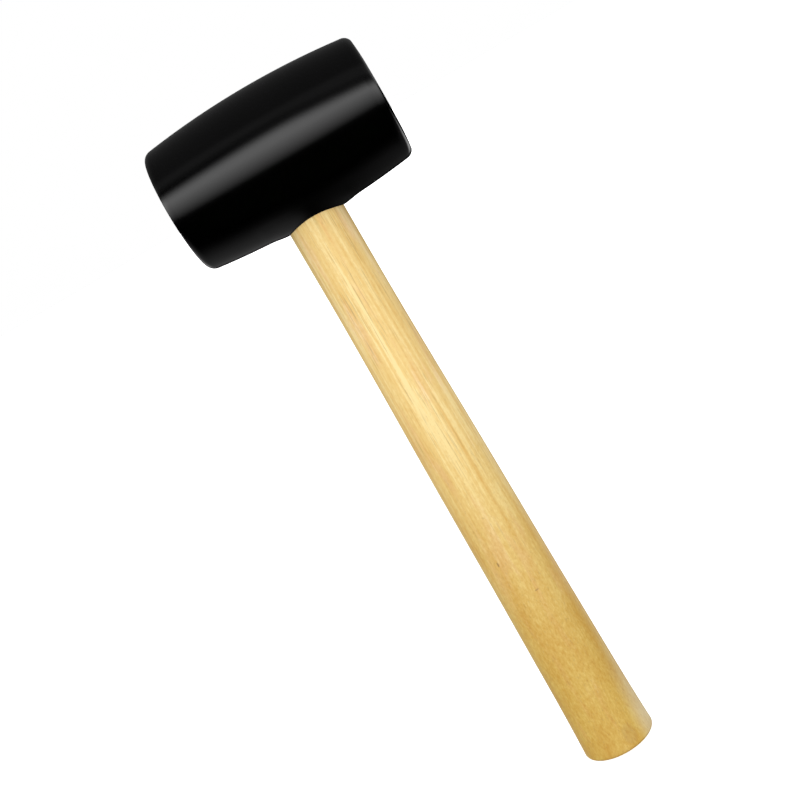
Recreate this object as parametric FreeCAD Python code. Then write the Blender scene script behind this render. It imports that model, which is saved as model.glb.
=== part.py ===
"""Rubber mallet: a barrel-shaped rubber head on a turned wooden handle.

The handle's tenon fills a blind socket in the head, where a fox wedge spreads it.

Millimetres. The handle's axis is Z, with the head at the top, and the head's axis is X.
The origin is the centre of the handle's butt end.
"""
import FreeCAD, Part
import math
import os

from FreeCAD import Vector

# Overall sizes
OVERALL_LENGTH = 350.0  # butt end to the crown of the head
HEAD_LENGTH = 105.5  # strike flat to strike flat
CROWN_DIAMETER = 65.0  # the head at its middle
BARREL_SWELL = 3.5  # how much further the side stands out at the middle than at the ends

# Strike faces
FACE_FLAT_DIAMETER = 24.0
FACE_CROWN = 1.2  # how far the flat stands out from the rim
FACE_EDGE_RADIUS = 5.0

# Turned handle
NECK_DIAMETER = 27.4
NECK_STRAIGHT = 28.0  # parallel stretch below the head
GRIP_DIAMETER = 30.2
GRIP_HEIGHT = 155.0  # above the butt end
PALM_DIAMETER = 32.5
PALM_HEIGHT = 72.0
BUTT_DIAMETER = 35.8
BUTT_FLAT_DIAMETER = 15.0
BUTT_CROWN = 1.8
BUTT_EDGE_RADIUS = 2.5

# Blind socket in the head, and the tenon that fills it
CROWN_WALL = 18.0  # rubber between the socket's floor and the crown
MOUTH_LIP_RADIUS = 0.4
TENON_FLARE = 1.6  # how much wider the spread tenon is at its end than at the neck
FLARE_LENGTH = 22.0
TENON_CHAMFER = 1.5
RUBBER_CLEARANCE = 0.0  # the rubber grips the wood all round

# Fox wedge, pushed into the tenon's saw kerf by the socket's floor
WEDGE_LENGTH = 24.0
WEDGE_THICKNESS = 4.2
WEDGE_TIP_THICKNESS = 1.2
KERF_SPARE = 4.0  # kerf left open past the wedge's tip

HEAD_CENTRE = OVERALL_LENGTH - CROWN_DIAMETER / 2
HEAD_BOTTOM = OVERALL_LENGTH - CROWN_DIAMETER
RIM_DIAMETER = CROWN_DIAMETER - 2 * BARREL_SWELL
NECK_START = HEAD_BOTTOM - NECK_STRAIGHT
TENON_END = OVERALL_LENGTH - CROWN_WALL
FLARE_START = TENON_END - FLARE_LENGTH
CUT_MARGIN = 5.0  # cutters run this far past what they cut
TOLERANCE = 1e-3


def crowned_end(flat_diameter, rim_diameter, crown):
    """Start, middle and end of the tangent arc that falls from a flat to a rim, as (radius, drop)."""
    flat_radius = flat_diameter / 2
    run = rim_diameter / 2 - flat_radius
    arc_radius = (run**2 + crown**2) / (2 * crown)
    half_turn = math.asin(run / arc_radius) / 2
    middle = (
        flat_radius + arc_radius * math.sin(half_turn),
        arc_radius * (1 - math.cos(half_turn)),
    )
    return (flat_radius, 0.0), middle, (rim_diameter / 2, crown)


def circles(solid, radius):
    """Circular edges of a radius."""
    return [
        edge
        for edge in solid.Edges
        if edge.Curve.TypeId == "Part::GeomCircle"
        and abs(edge.Curve.Radius - radius) < TOLERANCE
    ]


def head_blank():
    """Barrel about X, with an arc for its side and crowned strike faces."""
    arc = crowned_end(FACE_FLAT_DIAMETER, RIM_DIAMETER, FACE_CROWN)
    right = [Vector(HEAD_LENGTH / 2 - drop, 0, HEAD_CENTRE + radius) for radius, drop in arc]
    left = [Vector(-point.x, 0, point.z) for point in right]
    left_axis = Vector(-HEAD_LENGTH / 2, 0, HEAD_CENTRE)
    right_axis = Vector(HEAD_LENGTH / 2, 0, HEAD_CENTRE)
    crown = Vector(0, 0, OVERALL_LENGTH)
    curves = [
        Part.LineSegment(left_axis, left[0]),
        Part.Arc(left[0], left[1], left[2]),
        Part.Arc(left[2], crown, right[2]),
        Part.Arc(right[2], right[1], right[0]),
        Part.LineSegment(right[0], right_axis),
        Part.LineSegment(right_axis, left_axis),
    ]
    outline = Part.Wire([curve.toShape() for curve in curves])
    blank = Part.Face(outline).revolve(left_axis, Vector(1, 0, 0), 360)
    return blank.makeFillet(FACE_EDGE_RADIUS, circles(blank, RIM_DIAMETER / 2))


def tenon_side(clearance):
    """Points (radius, height) from the flare's foot, over the chamfer, to the axis."""
    foot_radius = NECK_DIAMETER / 2 + clearance
    end_radius = foot_radius + TENON_FLARE / 2
    return [
        (foot_radius, FLARE_START),
        (end_radius, TENON_END - TENON_CHAMFER),
        (end_radius - TENON_CHAMFER, TENON_END),
        (0.0, TENON_END),
    ]


def tenon(foot, clearance):
    """Solid that fills the socket from a height up to the socket's floor."""
    foot_radius = NECK_DIAMETER / 2 + clearance
    points = [(0.0, foot), (foot_radius, foot)] + tenon_side(clearance)
    corners = [Vector(radius, 0, height) for radius, height in points]
    outline = Part.makePolygon(corners + corners[:1])
    return Part.Face(outline).revolve(Vector(0, 0, 0), Vector(0, 0, 1), 360)


def mouth_edges(head):
    """Edges where the socket breaks out of the barrel's underside."""
    socket_radius = NECK_DIAMETER / 2 + RUBBER_CLEARANCE
    return [
        edge
        for edge in head.Edges
        if all(
            abs(math.hypot(point.x, point.y) - socket_radius) < TOLERANCE
            and point.z < FLARE_START - TOLERANCE
            for point in edge.discretize(9)
        )
    ]


def rubber_head():
    """Barrel with a blind socket in its underside."""
    socket = tenon(HEAD_BOTTOM - CUT_MARGIN, RUBBER_CLEARANCE)
    head = head_blank().cut(socket)
    return head.makeFillet(MOUTH_LIP_RADIUS, mouth_edges(head))


def handle_blank():
    """Turned handle from its crowned butt end to the end of its tenon."""
    arc = crowned_end(BUTT_FLAT_DIAMETER, BUTT_DIAMETER, BUTT_CROWN)
    butt = [Vector(radius, 0, drop) for radius, drop in arc]
    neck_foot = Vector(NECK_DIAMETER / 2, 0, NECK_START)
    side = Part.BSplineCurve()
    side.interpolate(
        Points=[
            butt[2],
            Vector(PALM_DIAMETER / 2, 0, PALM_HEIGHT),
            Vector(GRIP_DIAMETER / 2, 0, GRIP_HEIGHT),
            neck_foot,
        ],
        InitialTangent=Vector((PALM_DIAMETER - BUTT_DIAMETER) / PALM_HEIGHT, 0, 1),
        FinalTangent=Vector(0, 0, 1),
    )
    top = [neck_foot] + [Vector(radius, 0, height) for radius, height in tenon_side(0.0)]
    origin = Vector(0, 0, 0)
    curves = [Part.LineSegment(origin, butt[0]), Part.Arc(butt[0], butt[1], butt[2]), side]
    curves += [Part.LineSegment(start, end) for start, end in zip(top, top[1:])]
    curves.append(Part.LineSegment(top[-1], origin))
    outline = Part.Wire([curve.toShape() for curve in curves])
    blank = Part.Face(outline).revolve(origin, Vector(0, 0, 1), 360)
    return blank.makeFillet(BUTT_EDGE_RADIUS, circles(blank, BUTT_DIAMETER / 2))


def wedge_blank():
    """Tapered plate across the tenon, thick end up, whose sides spread the tenon along X."""
    width = 2 * NECK_DIAMETER
    tip = TENON_END - WEDGE_LENGTH
    corners = [
        Vector(-WEDGE_THICKNESS / 2, -width / 2, TENON_END),
        Vector(WEDGE_THICKNESS / 2, -width / 2, TENON_END),
        Vector(WEDGE_TIP_THICKNESS / 2, -width / 2, tip),
        Vector(-WEDGE_TIP_THICKNESS / 2, -width / 2, tip),
    ]
    face = Part.Face(Part.makePolygon(corners + corners[:1]))
    return face.extrude(Vector(0, width, 0))


def kerf():
    """Saw kerf across the tenon, opened by the wedge down to the wedge's tip."""
    width = 2 * NECK_DIAMETER
    depth = WEDGE_LENGTH + KERF_SPARE
    corner = Vector(-WEDGE_TIP_THICKNESS / 2, -width / 2, TENON_END - depth)
    saw_cut = Part.makeBox(WEDGE_TIP_THICKNESS, width, depth, corner)
    return wedge_blank().fuse(saw_cut)


def wooden_handle():
    """Turned handle with a kerf across its tenon."""
    return handle_blank().cut(kerf())


def fox_wedge():
    """Wedge with its edges cut flush with the tenon."""
    return wedge_blank().common(tenon(HEAD_BOTTOM, 0.0))


NODES = {
    "rubber_head": rubber_head,
    "wooden_handle": wooden_handle,
    "fox_wedge": fox_wedge,
}

os.makedirs("parts", exist_ok=True)
for name, make in NODES.items():
    shape = make()
    shape.exportStep(f"parts/{name}.step")
    print(f"{name}: {len(shape.Solids)} solid, {shape.Volume:.0f} mm3, valid {shape.isValid()}")
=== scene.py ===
from math import asin, cos, hypot, pi, radians, sin, sqrt

import bmesh
import bpy
from mathutils import Matrix, Quaternion, Vector


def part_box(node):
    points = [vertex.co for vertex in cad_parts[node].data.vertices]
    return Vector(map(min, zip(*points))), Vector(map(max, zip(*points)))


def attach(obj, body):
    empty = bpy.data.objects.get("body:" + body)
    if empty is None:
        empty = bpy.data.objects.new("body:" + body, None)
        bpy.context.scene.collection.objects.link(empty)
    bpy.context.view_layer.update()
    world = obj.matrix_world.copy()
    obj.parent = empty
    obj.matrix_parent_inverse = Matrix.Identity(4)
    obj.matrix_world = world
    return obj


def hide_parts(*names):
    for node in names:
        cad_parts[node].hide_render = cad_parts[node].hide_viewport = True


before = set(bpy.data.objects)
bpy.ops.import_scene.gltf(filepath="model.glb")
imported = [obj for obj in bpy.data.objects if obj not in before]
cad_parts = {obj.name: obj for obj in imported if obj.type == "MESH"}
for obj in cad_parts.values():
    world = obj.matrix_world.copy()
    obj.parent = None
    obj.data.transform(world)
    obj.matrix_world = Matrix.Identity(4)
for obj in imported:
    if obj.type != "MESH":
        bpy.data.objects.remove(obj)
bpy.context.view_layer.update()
headLow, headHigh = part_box("rubber_head")
handleLow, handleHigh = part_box("wooden_handle")
mm = 0.001
closeBy = 0.001 * mm  # points nearer to each other than this are one point
white = (1, 1, 1, 1)


# ---- shader maths: an expression on wires adds the nodes it needs

class Wire:
    def __init__(self, tree, socket):
        self.tree = tree
        self.socket = socket

    def node(self, kind, settings=None, inputs=None, output=0):
        return addNode(self.tree, kind, settings, inputs, output)

    def maths(self, operation, *values):
        return self.node("ShaderNodeMath", {"operation": operation}, dict(enumerate(values)))

    def __add__(self, other):
        return self.maths("ADD", self, other)

    def __sub__(self, other):
        return self.maths("SUBTRACT", self, other)

    def __rsub__(self, other):
        return self.maths("SUBTRACT", other, self)

    def __mul__(self, other):
        return self.maths("MULTIPLY", self, other)

    def __truediv__(self, other):
        return self.maths("DIVIDE", self, other)

    def __abs__(self):
        return self.maths("ABSOLUTE", self)

    __radd__ = __add__
    __rmul__ = __mul__

    # 0 below low, 1 above high, and smooth between
    def step(self, low, high):
        inputs = {"Value": self, "From Min": low, "From Max": high}
        return self.node("ShaderNodeMapRange", {"interpolation_type": "SMOOTHSTEP"}, inputs)

    def clip(self, low, high):
        return self.node("ShaderNodeClamp", inputs={"Value": self, "Min": low, "Max": high})

    def largest(self, other):
        return self.maths("MAXIMUM", self, other)

    def split(self):
        parts = self.node("ShaderNodeSeparateXYZ", inputs={"Vector": self}, output=None)
        return [Wire(self.tree, socket) for socket in parts.outputs]

    # a Mix node's two colours are its inputs 6 and 7, and their mix is its output 2
    def multiply(self, other):
        settings = {"data_type": "RGBA", "blend_type": "MULTIPLY"}
        return self.node("ShaderNodeMix", settings, {"Factor": 1, 6: self, 7: other}, output=2)

    # this wire as the factor between two colours
    def blend(self, first, second):
        inputs = {"Factor": self, 6: first, 7: second}
        return self.node("ShaderNodeMix", {"data_type": "RGBA"}, inputs, output=2)


def addNode(tree, kind, settings=None, inputs=None, output=0):
    node = tree.nodes.new(kind)
    for name, value in (settings or {}).items():
        setattr(node, name, value)
    for name, value in (inputs or {}).items():
        if isinstance(value, Wire):
            tree.links.new(value.socket, node.inputs[name])
        else:
            node.inputs[name].default_value = value
    return Wire(tree, node.outputs[output]) if output is not None and node.outputs else node


def colour(red, green, blue):
    return (red, green, blue, 1)


def newMaterial(name):
    material = bpy.data.materials.new(name)
    material.use_nodes = True
    material.node_tree.nodes.clear()
    return material, material.node_tree


def surface(tree, shader):
    addNode(tree, "ShaderNodeOutputMaterial", inputs={"Surface": shader})


# object coordinates in millimetres, moved and stretched
def patternSpace(tree, move=(0, 0, 0), stretch=(1, 1, 1)):
    place = addNode(tree, "ShaderNodeTexCoord", output="Object")
    return place.node("ShaderNodeMapping", {"vector_type": "POINT"}, {
        "Vector": place,
        "Location": move,
        "Scale": [share / mm for share in stretch],
    })


def noise(space, scale, detail=2, roughness=0.5):
    inputs = {"Vector": space, "Scale": scale, "Detail": detail, "Roughness": roughness}
    return space.node("ShaderNodeTexNoise", {"noise_dimensions": "3D"}, inputs)


# noise drawn out along the handle
def grain(tree, scale, stretch, move=(0, 0, 0), detail=2, roughness=0.5):
    return noise(patternSpace(tree, move, (1, 1, stretch)), scale, detail, roughness)


# ---- meshes

def newPiece(name, shape, body="root"):
    mesh = bpy.data.meshes.new(name)
    shape.to_mesh(mesh)
    shape.free()
    mesh.shade_smooth()
    piece = bpy.data.objects.new(name, mesh)
    bpy.context.scene.collection.objects.link(piece)
    if body:
        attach(piece, body)
    return piece


# (radius, drop) points of a low dome, from the edge of its flat out to its rim
def domeOutline(flatRadius, rimRadius, drop, count):
    run = rimRadius - flatRadius
    bend = (run**2 + drop**2) / (2 * drop)
    turn = asin(run / bend) / count
    angles = [turn * i for i in range(count + 1)]
    return [(flatRadius + bend * sin(angle), bend * (1 - cos(angle))) for angle in angles]


# spins an outline a full turn, with the corners at the numbered points rounded first
def turned(outline, axis, centre, steps, corners, rounding):
    shape = bmesh.new()
    points = [shape.verts.new(point) for point in outline]
    for pair in zip(points, points[1:]):
        shape.edges.new(pair)
    bmesh.ops.bevel(
        shape, geom=[points[i] for i in corners], offset=rounding, offset_type="OFFSET",
        affect="VERTICES", segments=8, profile=0.5, material=-1,
    )
    bmesh.ops.spin(
        shape, geom=shape.verts[:] + shape.edges[:], cent=centre, axis=axis, dvec=(0, 0, 0),
        angle=2 * pi, steps=steps, use_merge=True, use_duplicate=False,
    )
    bmesh.ops.remove_doubles(shape, verts=shape.verts, dist=closeBy)
    bmesh.ops.recalc_face_normals(shape, faces=shape.faces)
    return shape


# ---- rubber head

rubberHead = {
    "flatRadius": 12 * mm,  # flat at the middle of each strike face
    "faceCrown": 1.2 * mm,
    "faceRings": 6,
    "swell": 3.5 * mm,  # how much fuller the barrel is at its middle
    "edgeRounding": 4.1 * mm,  # cut back from the rim for a 5 mm round
    "seamHeight": 0.1 * mm,  # the line that the two halves of the mould leave
    "seamWidth": 0.7 * mm,
    "lip": 0.4 * mm,
    "bead": 0.7 * mm,  # how far the tight neck pushes the rubber out round the mouth
    "beadWidth": 9 * mm,  # over this width it fades into the barrel
    "rings": [0.78] * 9 + [0.5, 0],  # each ring's way to the mouth, as a share of the last one's
    "lipRings": 4,
    "steps": 192,  # faces round the barrel
    "ringGap": 1.55 * mm,  # and between its rings
}
crownRadius = (headHigh.y - headLow.y) / 2 - rubberHead["seamHeight"]
headCentre = headHigh.z - (headHigh.y - headLow.y) / 2
headHalf = headHigh.x - rubberHead["seamHeight"]
rimPlace = headHalf - rubberHead["faceCrown"]
barrelBend = (rimPlace**2 + rubberHead["swell"] ** 2) / (2 * rubberHead["swell"])


def barrelRadius(x):
    return crownRadius - barrelBend + sqrt(barrelBend**2 - x**2)


def headOutline():
    sizes = rubberHead
    rim = barrelRadius(rimPlace)
    face = domeOutline(sizes["flatRadius"], rim, sizes["faceCrown"], sizes["faceRings"])
    right = [(headHalf - drop, radius) for radius, drop in face]
    reach = rimPlace - 2 * sizes["ringGap"]
    count = round(2 * reach / sizes["ringGap"])
    side = [reach * (2 * i / count - 1) for i in range(count + 1)]
    points = [(-headHalf, 0)] + [(-x, radius) for x, radius in right]
    points += [(x, barrelRadius(x)) for x in side]
    points += right[::-1] + [(headHalf, 0)]
    rims = [len(face), len(points) - len(face) - 1]
    return [(x, 0, headCentre + radius) for x, radius in points], rims


# whether a point lies where the halves of the mould meet
def onSeam(point):
    return abs(point.y) < 10 * closeBy


def raiseSeam(shape):
    half = rubberHead["seamWidth"] / 2
    for side in (-half, half):
        everything = shape.verts[:] + shape.edges[:] + shape.faces[:]
        bmesh.ops.bisect_plane(
            shape, geom=everything, dist=closeBy, plane_co=(0, side, 0), plane_no=(0, 1, 0),
        )
    shape.normal_update()
    for point in [vert for vert in shape.verts if onSeam(vert.co)]:
        point.co += point.normal * rubberHead["seamHeight"]


# extrudes the one open loop inwards, and puts each new point where place says
def drawIn(shape, place):
    loop = [edge for edge in shape.edges if edge.is_boundary]
    new = bmesh.ops.extrude_edge_only(shape, edges=loop)["geom"]
    for point in [part for part in new if isinstance(part, bmesh.types.BMVert)]:
        point.co = place(point.co)


# a point at a distance from the handle's axis, in the direction of another point
def aside(point, radius, height=0):
    along = Vector((point.x, point.y)).normalized() * radius
    return Vector((along.x, along.y, height))


# the barrel's underside at a distance from the handle's axis, with the seam and the bead on it
def underside(point, radius, rise=0):
    mouth = neckRadius + rubberHead["lip"]
    place = aside(point, radius)
    near = min(max(1 - (radius - mouth) / rubberHead["beadWidth"], 0), 1)
    bulge = rubberHead["seamHeight"] if onSeam(point) else 0
    bulge += rubberHead["bead"] * near**2 * (3 - 2 * near)
    place.z = headCentre - sqrt(barrelRadius(place.x) ** 2 - place.y**2) - bulge + rise
    return place


# deletes the faces round the handle, rebuilds them in rings and goes on into the socket
def openSocket(shape):
    lip = rubberHead["lip"]
    mouth = neckRadius + lip
    patch = neckRadius + rubberHead["beadWidth"]
    middles = [(face, face.calc_center_median()) for face in shape.faces]
    hole = [
        face for face, middle in middles
        if middle.z < headCentre and abs(middle.x) < patch and abs(middle.y) < patch
    ]
    bmesh.ops.delete(shape, geom=hole, context="FACES")
    for share in rubberHead["rings"]:
        drawIn(shape, lambda point: underside(point, mouth + (hypot(point.x, point.y) - mouth) * share))
    for i in range(rubberHead["lipRings"]):
        turn = pi / 2 * (i + 1) / rubberHead["lipRings"]
        drawIn(shape, lambda point: underside(point, mouth - lip * sin(turn), lip * (1 - cos(turn))))
    for radius, height in tenonOutline():
        drawIn(shape, lambda point: aside(point, radius, height))
    bmesh.ops.holes_fill(shape, edges=[edge for edge in shape.edges if edge.is_boundary], sides=0)
    bmesh.ops.recalc_face_normals(shape, faces=shape.faces)


def makeHead():
    outline, rims = headOutline()
    rounding = rubberHead["edgeRounding"]
    shape = turned(outline, (1, 0, 0), (0, 0, headCentre), rubberHead["steps"], rims, rounding)
    raiseSeam(shape)
    openSocket(shape)
    head = newPiece("mallet_head", shape)
    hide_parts("rubber_head")
    head.data.materials.append(headRubber())
    return head


# ---- wooden handle

woodenHandle = {
    "flatRadius": 7.5 * mm,  # flat at the middle of the butt
    "buttRadius": 17.9 * mm,
    "buttCrown": 1.8 * mm,
    "buttRings": 2,
    "buttRounding": 1.78 * mm,  # cut back from the corner for a 2.5 mm round
    "palm": (72 * mm, 16.25 * mm),  # height, radius
    "grip": (155 * mm, 15.1 * mm),
    "neck": (257 * mm, 13.7 * mm),
    "flare": 0.8 * mm,  # how far the wedge spreads the tenon's end
    "flareLength": 22 * mm,
    "chamfer": 1.5 * mm,
    "kerfWidth": 1.2 * mm,
    "kerfSpare": 4 * mm,  # how far the kerf goes on past the wedge's tip
    "steps": 160,
    "ringGap": 4 * mm,
}
neckRadius = woodenHandle["neck"][1]


# tenon in the socket, from the flare's foot to the edge of its end
def tenonOutline():
    end = neckRadius + woodenHandle["flare"]
    return [
        (neckRadius, handleHigh.z - woodenHandle["flareLength"]),
        (end, handleHigh.z - woodenHandle["chamfer"]),
        (end - woodenHandle["chamfer"], handleHigh.z),
    ]


# smooth curve through the butt, palm, grip and neck, as (radius, height) points
def gripOutline():
    butt = (woodenHandle["buttCrown"], woodenHandle["buttRadius"])
    palm = woodenHandle["palm"]
    stations = [butt, palm, woodenHandle["grip"], woodenHandle["neck"]]
    slopes = [2 * (palm[1] - butt[1]) / palm[0]]  # twice as steep as a straight side up to the palm
    for before, after in zip(stations, stations[2:]):
        slopes.append((after[1] - before[1]) / (after[0] - before[0]))
    slopes.append(0)
    points = []
    for i, (start, end) in enumerate(zip(stations, stations[1:])):
        span = end[0] - start[0]
        count = round(span / woodenHandle["ringGap"])
        for j in range(count):
            t = j / count
            radius = (1 + 2 * t) * (1 - t) ** 2 * start[1] + t * t * (3 - 2 * t) * end[1]
            radius += span * t * (1 - t) * ((1 - t) * slopes[i] - t * slopes[i + 1])
            points.append((radius, start[0] + span * t))
    return points + [stations[-1][::-1]]


# the saw cut, opened by the wedge from its tip up to past the tenon's end
def kerfCutter():
    wedgeLow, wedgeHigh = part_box("fox_wedge")
    width, spare = woodenHandle["kerfWidth"], woodenHandle["kerfSpare"]
    across = 4 * neckRadius
    length = wedgeHigh.z - wedgeLow.z
    past = 1 * mm  # the cutter ends this far above the tenon
    opening = width + (wedgeHigh.x - wedgeLow.x - width) * (length + past) / length
    shape = bmesh.new()
    place = Matrix.Translation((0, 0, wedgeLow.z - spare / 2))
    bmesh.ops.create_cube(shape, size=1, matrix=place @ Matrix.Diagonal((width, across, spare, 1)))
    top = [face for face in shape.faces if face.normal.z > 0.5]
    grown = bmesh.ops.extrude_face_region(shape, geom=top)["geom"]
    bmesh.ops.delete(shape, geom=top, context="FACES_ONLY")
    corners = [part for part in grown if isinstance(part, bmesh.types.BMVert)]
    bmesh.ops.translate(shape, verts=corners, vec=(0, 0, length + past))
    bmesh.ops.scale(shape, verts=corners, vec=(opening / width, 1, 1))
    bmesh.ops.recalc_face_normals(shape, faces=shape.faces)
    return newPiece("kerf_cutter", shape, body=None)


def cutKerf(handle):
    cutter = kerfCutter()
    cut = handle.modifiers.new("kerf", "BOOLEAN")
    cut.operation = "DIFFERENCE"
    cut.solver = "EXACT"
    cut.object = cutter
    seen = handle.evaluated_get(bpy.context.evaluated_depsgraph_get())
    handle.data = bpy.data.meshes.new_from_object(seen)
    handle.modifiers.clear()
    bpy.data.objects.remove(cutter)


def makeHandle():
    sizes = woodenHandle
    butt = domeOutline(sizes["flatRadius"], sizes["buttRadius"], sizes["buttCrown"], sizes["buttRings"])
    outline = [(0, 0)] + butt[:-1] + gripOutline() + tenonOutline() + [(0, handleHigh.z)]
    outline = [(radius, 0, height) for radius, height in outline]
    rounding = sizes["buttRounding"]
    shape = turned(outline, (0, 0, 1), (0, 0, 0), sizes["steps"], [len(butt)], rounding)
    handle = newPiece("mallet_handle", shape)
    cutKerf(handle)
    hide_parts("wooden_handle")
    handle.visible_glossy = False  # the rubber's shine doesn't show the wood
    handle.data.materials.append(handleWood())
    return handle


# ---- materials

headRubberLook = {
    "darkest": colour(0.0001, 0.0001, 0.00015),
    "palest": colour(0.0004, 0.0004, 0.0005),
    "roughness": 0.13,
    "swirlScale": 0.05,  # noise scales are per millimetre
    "swirlRoughness": 0.05,  # how much the slow swirls change the roughness
    "grainScale": 2.2,
    "grainRoughness": 0.04,
    "grainDepth": 0.012 * mm,
    "seamEdge": (0.2, 0.5),  # millimetres from the mould line at which its dull streak fades
    "seamRoughness": 0.1,
}


def headRubber():
    look = headRubberLook
    material, tree = newMaterial("headRubber")
    space = patternSpace(tree)
    fine = noise(space, look["grainScale"], detail=4, roughness=0.6)
    swirl = noise(space, look["swirlScale"])
    seam = 1 - abs(space.split()[1]).step(*look["seamEdge"])
    roughness = look["roughness"] + (swirl - 0.5) * look["swirlRoughness"]
    roughness = roughness + (fine - 0.5) * look["grainRoughness"] + seam * look["seamRoughness"]
    bump = {"Height": fine, "Strength": 1, "Distance": look["grainDepth"]}
    shader = addNode(tree, "ShaderNodeBsdfPrincipled", inputs={
        "Base Color": swirl.blend(look["darkest"], look["palest"]),
        "Roughness": roughness,
        "IOR": 1.5,
        "Normal": fine.node("ShaderNodeBump", inputs=bump),
    })
    surface(tree, shader)
    return material


# the wood's figure: noise scales per millimetre, and the share of them that holds along the handle
woodFigure = {
    "bands": {"scale": 0.26, "stretch": 0.02, "move": (3, 0, 0), "detail": 1},
    "streaks": {"scale": 0.62, "stretch": 0.02, "roughness": 0.6},
    "hairs": {"scale": 1.7, "stretch": 0.025, "roughness": 0.6},
    "gaps": {"scale": 0.2, "stretch": 0.2, "move": (0, 7, 0), "detail": 1},
    "flecks": {"scale": 1.0, "stretch": 0.4, "detail": 4, "roughness": 0.75},
    "clouds": {"scale": 0.1, "stretch": 0.4},
    "blush": {"scale": 0.18, "stretch": 0.15, "move": (0, 0, 5)},
    "pores": {"scale": 1.6, "stretch": 0.3},
}
handleWoodLook = {
    "amber": colour(0.80, 0.49, 0.13),
    "straw": colour(0.88, 0.62, 0.225),
    "cream": colour(0.97, 0.76, 0.35),
    "amberToStraw": (0.05, 0.5),  # tones between which one colour turns into the next
    "strawToCream": (0.42, 0.85),
    "blush": colour(1.0, 0.955, 1.1),  # multiplies the colours in the pinkish patches
    "blushEdge": (0.5, 0.68),
    "buttTintAndShade": colour(0.73, 0.65, 0.33),  # multiplies the colours at the butt end: partly the wood's own colour, partly painted shade where the light falls off down the handle
    "buttFade": (20, 225),  # heights between which that tint and painted shade fade out, in millimetres
    # the colour of the hairlines, pores and marks, and of the painted shade at the butt's edge
    "poreAndShade": colour(0.40, 0.22, 0.07),
    "roughness": 0.45,
    "fleckRoughness": 0.1,
    "grainDepth": 0.03 * mm,
    # strengths low on the handle and high up, and the heights between which they change
    # the tone rises up the handle: partly the wood's own colour, partly painted light, paler towards
    # the head and darker towards the butt
    "tone": (0.44, 0.54),
    "bands": (0.25, 1.0),
    "streaks": (0.3, 1.25),
    "flecks": (1.9, 0.8),
    "clouds": (0.9, 0.4),
    "hairs": (0.1, 0.46),
    "pores": (0.34, 0.14),
    "upper": (60, 190),
    "hairEdge": (0.55, 0.70),  # noise values between which a hairline darkens
    "gapEdge": (0.38, 0.6),  # and those that leave it out in places
    "poreEdge": (0.58, 0.74),
    # painted sheen: a pale patch on one side of the butt that stands in for a reflection, in
    # millimetres to the side and up
    "paintedSheen": colour(0.80, 0.68, 0.43),
    "paintedSheenSide": (9, 17),
    "paintedSheenTop": (12, 62),
    "paintedSheenStrength": 0.45,
    "paintedSheenClouds": 1.2,
    "paintedSheenFlecks": 0.5,
    # painted shade: a dark line round the butt's edge, where it turns down away from the light
    "shadedRimTop": (1.4, 3.2),
    "shadedRimStrength": 0.35,
    # small knots and blotches: centre, reach along the handle, reach across it, strength
    "marks": [
        ((-7.2, -14.0, 110.0), 1.2, 0.4, 0.95),
        ((2.5, -15.8, 91.5), 0.4, 1.0, 0.6),
        ((6.2, -16.6, 9.0), 5, 3.5, 0.22),
    ],
}


# 1 in the middle of a mark and 0 past its edge
def mark(space, centre, along, across):
    x, y, z = space.split()
    x = (x - centre[0]) / across
    y = (y - centre[1]) / across
    z = (z - centre[2]) / along
    return 1 - (x * x + y * y + z * z).step(0.5, 1.5)


# a strength low on the handle that turns into another one high up
def strengthAlong(upper, name):
    low, high = handleWoodLook[name]
    return low + upper * (high - low)


# amber at 0, cream at 1
def woodTone(upper, figure):
    tone = strengthAlong(upper, "tone")
    for name in ("bands", "streaks", "flecks", "clouds"):
        tone = tone + (figure[name] - 0.5) * strengthAlong(upper, name)
    return tone


# painted sheen: pale on one side of the butt, where a reflection is painted into the colour
def paintedSheenPatch(x, height, figure):
    look = handleWoodLook
    patch = x.step(*look["paintedSheenSide"]) * (1 - height.step(*look["paintedSheenTop"]))
    uneven = look["paintedSheenStrength"] + (figure["clouds"] - 0.5) * look["paintedSheenClouds"]
    uneven = uneven + (figure["flecks"] - 0.5) * look["paintedSheenFlecks"]
    return (patch * uneven).clip(0, 1)


# how dark the hairlines, the pores, the painted shade at the butt's edge and the marks make the wood
def darkSpots(space, height, upper, figure):
    look = handleWoodLook
    hairline = figure["hairs"].step(*look["hairEdge"]) * figure["gaps"].step(*look["gapEdge"])
    dark = hairline * strengthAlong(upper, "hairs")
    dark = dark + figure["pores"].step(*look["poreEdge"]) * strengthAlong(upper, "pores")
    # painted shade along the butt's lower edge
    dark = dark + (1 - height.step(*look["shadedRimTop"])) * look["shadedRimStrength"]
    for centre, along, across, depth in look["marks"]:
        dark = dark + mark(space, centre, along, across) * depth
    return dark.clip(0, 1)


def woodColour(tree, figure):
    look = handleWoodLook
    space = patternSpace(tree)
    parts = space.split()
    x, height = parts[0], parts[2]
    upper = height.step(*look["upper"])
    tone = woodTone(upper, figure)
    wood = tone.step(*look["amberToStraw"]).blend(look["amber"], look["straw"])
    wood = tone.step(*look["strawToCream"]).blend(wood, look["cream"])
    blush = figure["blush"].step(*look["blushEdge"])
    wood = blush.blend(white, look["blush"]).multiply(wood)
    # darker and more golden towards the butt: the wood's own colour mixed with painted shade
    wood = height.step(*look["buttFade"]).blend(look["buttTintAndShade"], white).multiply(wood)
    # painted sheen on one side of the butt
    wood = paintedSheenPatch(x, height, figure).blend(wood, look["paintedSheen"])
    return darkSpots(space, height, upper, figure).blend(wood, look["poreAndShade"])


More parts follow.
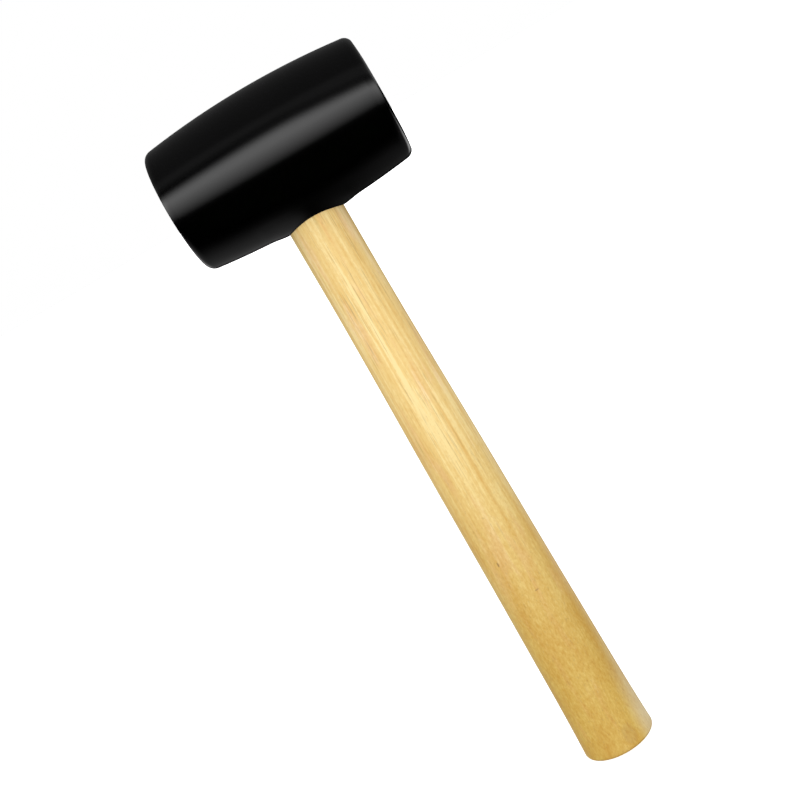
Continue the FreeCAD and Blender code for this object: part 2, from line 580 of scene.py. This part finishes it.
def handleWood():
    look = handleWoodLook
    material, tree = newMaterial("handleWood")
    figure = {name: grain(tree, **settings) for name, settings in woodFigure.items()}
    flecks = figure["flecks"]
    bump = {"Height": flecks, "Strength": 1, "Distance": look["grainDepth"]}
    shader = addNode(tree, "ShaderNodeBsdfPrincipled", inputs={
        "Base Color": woodColour(tree, figure),
        "Roughness": look["roughness"] + (flecks - 0.5) * look["fleckRoughness"],
        "IOR": 1.5,
        "Normal": flecks.node("ShaderNodeBump", inputs=bump),
    })
    surface(tree, shader)
    return material


wedgeWoodLook = {
    "dark": colour(0.36, 0.21, 0.09),
    "pale": colour(0.58, 0.38, 0.19),
    "roughness": 0.7,
    "fibreRoughness": 0.1,
}


def wedgeWood():
    look = wedgeWoodLook
    material, tree = newMaterial("wedgeWood")
    fibre = grain(tree, scale=1.5, stretch=0.05, detail=4, roughness=0.65)
    shader = addNode(tree, "ShaderNodeBsdfPrincipled", inputs={
        "Base Color": fibre.blend(look["dark"], look["pale"]),
        "Roughness": look["roughness"] + fibre * look["fibreRoughness"],
    })
    surface(tree, shader)
    return material


# ---- studio

studio = {
    "cameraAim": (-8.66 * mm, 0, 195.92 * mm),
    "cameraDistance": 700 * mm,
    "cameraAzimuth": 4.168,  # degrees, as are the next two
    "cameraElevation": 10.269,
    "cameraRoll": 30.404,
    "lens": 69.62,
    "floorSide": 40,
    "floorGrey": 0.85,
    "floorGlow": 0.9,
}


# unit vector towards an azimuth and elevation; azimuth 0 is in front of the mallet
def towards(azimuth, elevation):
    a, e = radians(azimuth), radians(elevation)
    return Vector((sin(a) * cos(e), -cos(a) * cos(e), sin(e)))


def makeCamera():
    data = bpy.data.cameras.new("camera")
    data.lens = studio["lens"]
    data.clip_end = 2.5 * studio["floorSide"]
    camera = bpy.data.objects.new("camera", data)
    bpy.context.scene.collection.objects.link(camera)
    back = towards(studio["cameraAzimuth"], studio["cameraElevation"])
    camera.location = Vector(studio["cameraAim"]) + back * studio["cameraDistance"]
    roll = Quaternion((0, 0, 1), -radians(studio["cameraRoll"]))
    camera.rotation_mode = "QUATERNION"
    camera.rotation_quaternion = (-back).to_track_quat("-Z", "Y") @ roll
    bpy.context.scene.camera = camera


def makeFloor():
    shape = bmesh.new()
    bmesh.ops.create_grid(shape, x_segments=1, y_segments=1, size=studio["floorSide"] / 2)
    floor = newPiece("floor", shape, body=None)
    floor.visible_glossy = False
    floor.visible_diffuse = False
    material, tree = newMaterial("floorWhite")
    shader = addNode(tree, "ShaderNodeBsdfPrincipled", inputs={
        "Base Color": colour(*[studio["floorGrey"]] * 3),
        "Roughness": 0.9,
        "Emission Color": white,
        "Emission Strength": studio["floorGlow"],
    })
    surface(tree, shader)
    floor.data.materials.append(material)


# what the mallet's shine shows; angles are in degrees, strengths in white paper's brightness,
# and a pair gives where something starts and where it has come or gone in full
shineLook = {
    "boxStrength": 2.5,
    "boxBottom": -11,
    "boxRamp": 31,  # how far above its bottom the box is at full strength
    "boxTop": (26, 44),
    "boxTilt": 0.1,  # how much lower the box's bottom is for each degree to the right
    "tiltReach": 30,
    "leftDrop": 0.04,  # how much lower its top is for each degree to the left
    "rightDrop": 0.51,  # and to the right
    "rightReach": 18,
    "wrap": (70, 172),  # how far round the box reaches on each side
    "room": 0.1,
    "roomBottom": (25, 30),
    "roomLeftBottom": (42, 52),  # the room begins higher on the left
    "roomLeftEnd": (-22, -3),
    "strip": 0.09,  # faint bright line high in the room
    "stripBottom": (50, 57),
    "stripTop": (60, 70),
    # light off the floor, as parts of a direction of length 1
    "lowLeft": {"start": 0.07, "slope": 3.2, "most": 0.18, "depth": (-0.35, 0.4)},
    "lowRight": {"start": -0.05, "slope": 0.46, "most": 0.085, "depth": (-0.3, 0.3)},
    "lowTop": (0.3, 0.5),
    # white paper behind the handle: azimuths of its near and far edge, elevations of the others
    "paperLeft": 0.5,
    "paperRight": 1.1,
    "paperNear": (116, 136),
    "paperFar": (152, 170),
    "paperBottom": (-32, -24),
    "paperTop": (-12, -5),
}
# the soft light on everything that isn't a shine, by the side it comes from
softLight = {"everywhere": 0.55, "front": 0.85, "back": 0.3, "up": 0.3, "left": 0.03}


# the soft box in front, brighter towards its top, and the dim room above it;
# turn and pitch are twice the angles of the face that mirrors a direction to the front
def frontBox(turn, pitch):
    look = shineLook
    reach = look["tiltReach"]
    tilt = turn.clip(-reach, reach) * look["boxTilt"]
    ramp = ((pitch + tilt - look["boxBottom"]) / look["boxRamp"]).clip(0, 1)
    right = turn.clip(0, look["rightReach"]) * look["rightDrop"]
    height = pitch + right + (0 - turn).clip(0, reach) * look["leftDrop"]
    box = ramp * (1 - height.step(*look["boxTop"])) * (1 - abs(turn).step(*look["wrap"]))
    middle = turn.step(*look["roomLeftEnd"])
    room = middle.largest(height.step(*look["roomLeftBottom"])) * pitch.step(*look["roomBottom"])
    strip = (pitch + right).step(*look["stripBottom"]) * (1 - pitch.step(*look["stripTop"]))
    return box * look["boxStrength"] + room * look["room"] + strip * look["strip"]


def lowSide(across, y, look):
    rising = ((across - look["start"]) * look["slope"]).clip(0, look["most"])
    return rising * y.step(*look["depth"])


# the light that comes up from the floor behind the mallet, on both sides of its own shadow
def lowSides(x, y, z):
    sides = lowSide(0 - x, y, shineLook["lowLeft"]) + lowSide(x, y, shineLook["lowRight"])
    return sides * (0 - z).step(*shineLook["lowTop"])


# the white paper on both sides of the handle, just behind it
def backdrop(azimuth, elevation):
    look = shineLook
    away = abs(azimuth)
    sides = away.step(*look["paperNear"]) * (1 - away.step(*look["paperFar"]))
    upright = elevation.step(*look["paperBottom"]) * (1 - elevation.step(*look["paperTop"]))
    isRight = azimuth.step(-1, 1)
    paper = isRight * look["paperRight"] + (1 - isRight) * look["paperLeft"]
    return sides * upright * paper


def softLightFrom(x, y, z):
    light = softLight
    soft = (0 - y).clip(0, 1) * light["front"] + y.clip(0, 1) * light["back"]
    return soft + z * light["up"] - x * light["left"] + light["everywhere"]


def makeWorld():
    world = bpy.data.worlds.new("studioWorld")
    world.use_nodes = True
    world.cycles.sampling_method = "NONE"
    bpy.context.scene.world = world
    tree = world.node_tree
    tree.nodes.clear()
    x, y, z = addNode(tree, "ShaderNodeTexCoord", output="Object").split()
    elevation = z.maths("ARCSINE", z) * (180 / pi)
    azimuth = x.maths("ARCTAN2", x, 0 - y) * (180 / pi)
    turn = x.maths("ARCTAN2", x, 1 - y) * (360 / pi)
    pitch = z.maths("ARCTAN2", z, 1 - y) * (360 / pi)
    shine = frontBox(turn, pitch) + lowSides(x, y, z) + backdrop(azimuth, elevation)
    isCamera = addNode(tree, "ShaderNodeLightPath", output=0)
    isGlossy = addNode(tree, "ShaderNodeLightPath", output=3)
    seen = isGlossy * shine + (1 - isGlossy) * softLightFrom(x, y, z)
    strength = isCamera + (1 - isCamera) * seen
    glow = addNode(tree, "ShaderNodeBackground", inputs={"Color": white, "Strength": strength})
    addNode(tree, "ShaderNodeOutputWorld", inputs={"Surface": glow})


makeCamera()
makeFloor()
makeWorld()
bpy.context.scene.view_settings.view_transform = "Standard"
print("studio set")

head = makeHead()
print("head", len(head.data.polygons), "faces")
handle = makeHandle()
print("handle", len(handle.data.polygons), "faces")
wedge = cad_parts["fox_wedge"]
wedge.data.materials.clear()
wedge.data.materials.append(wedgeWood())
print("wedge dressed")
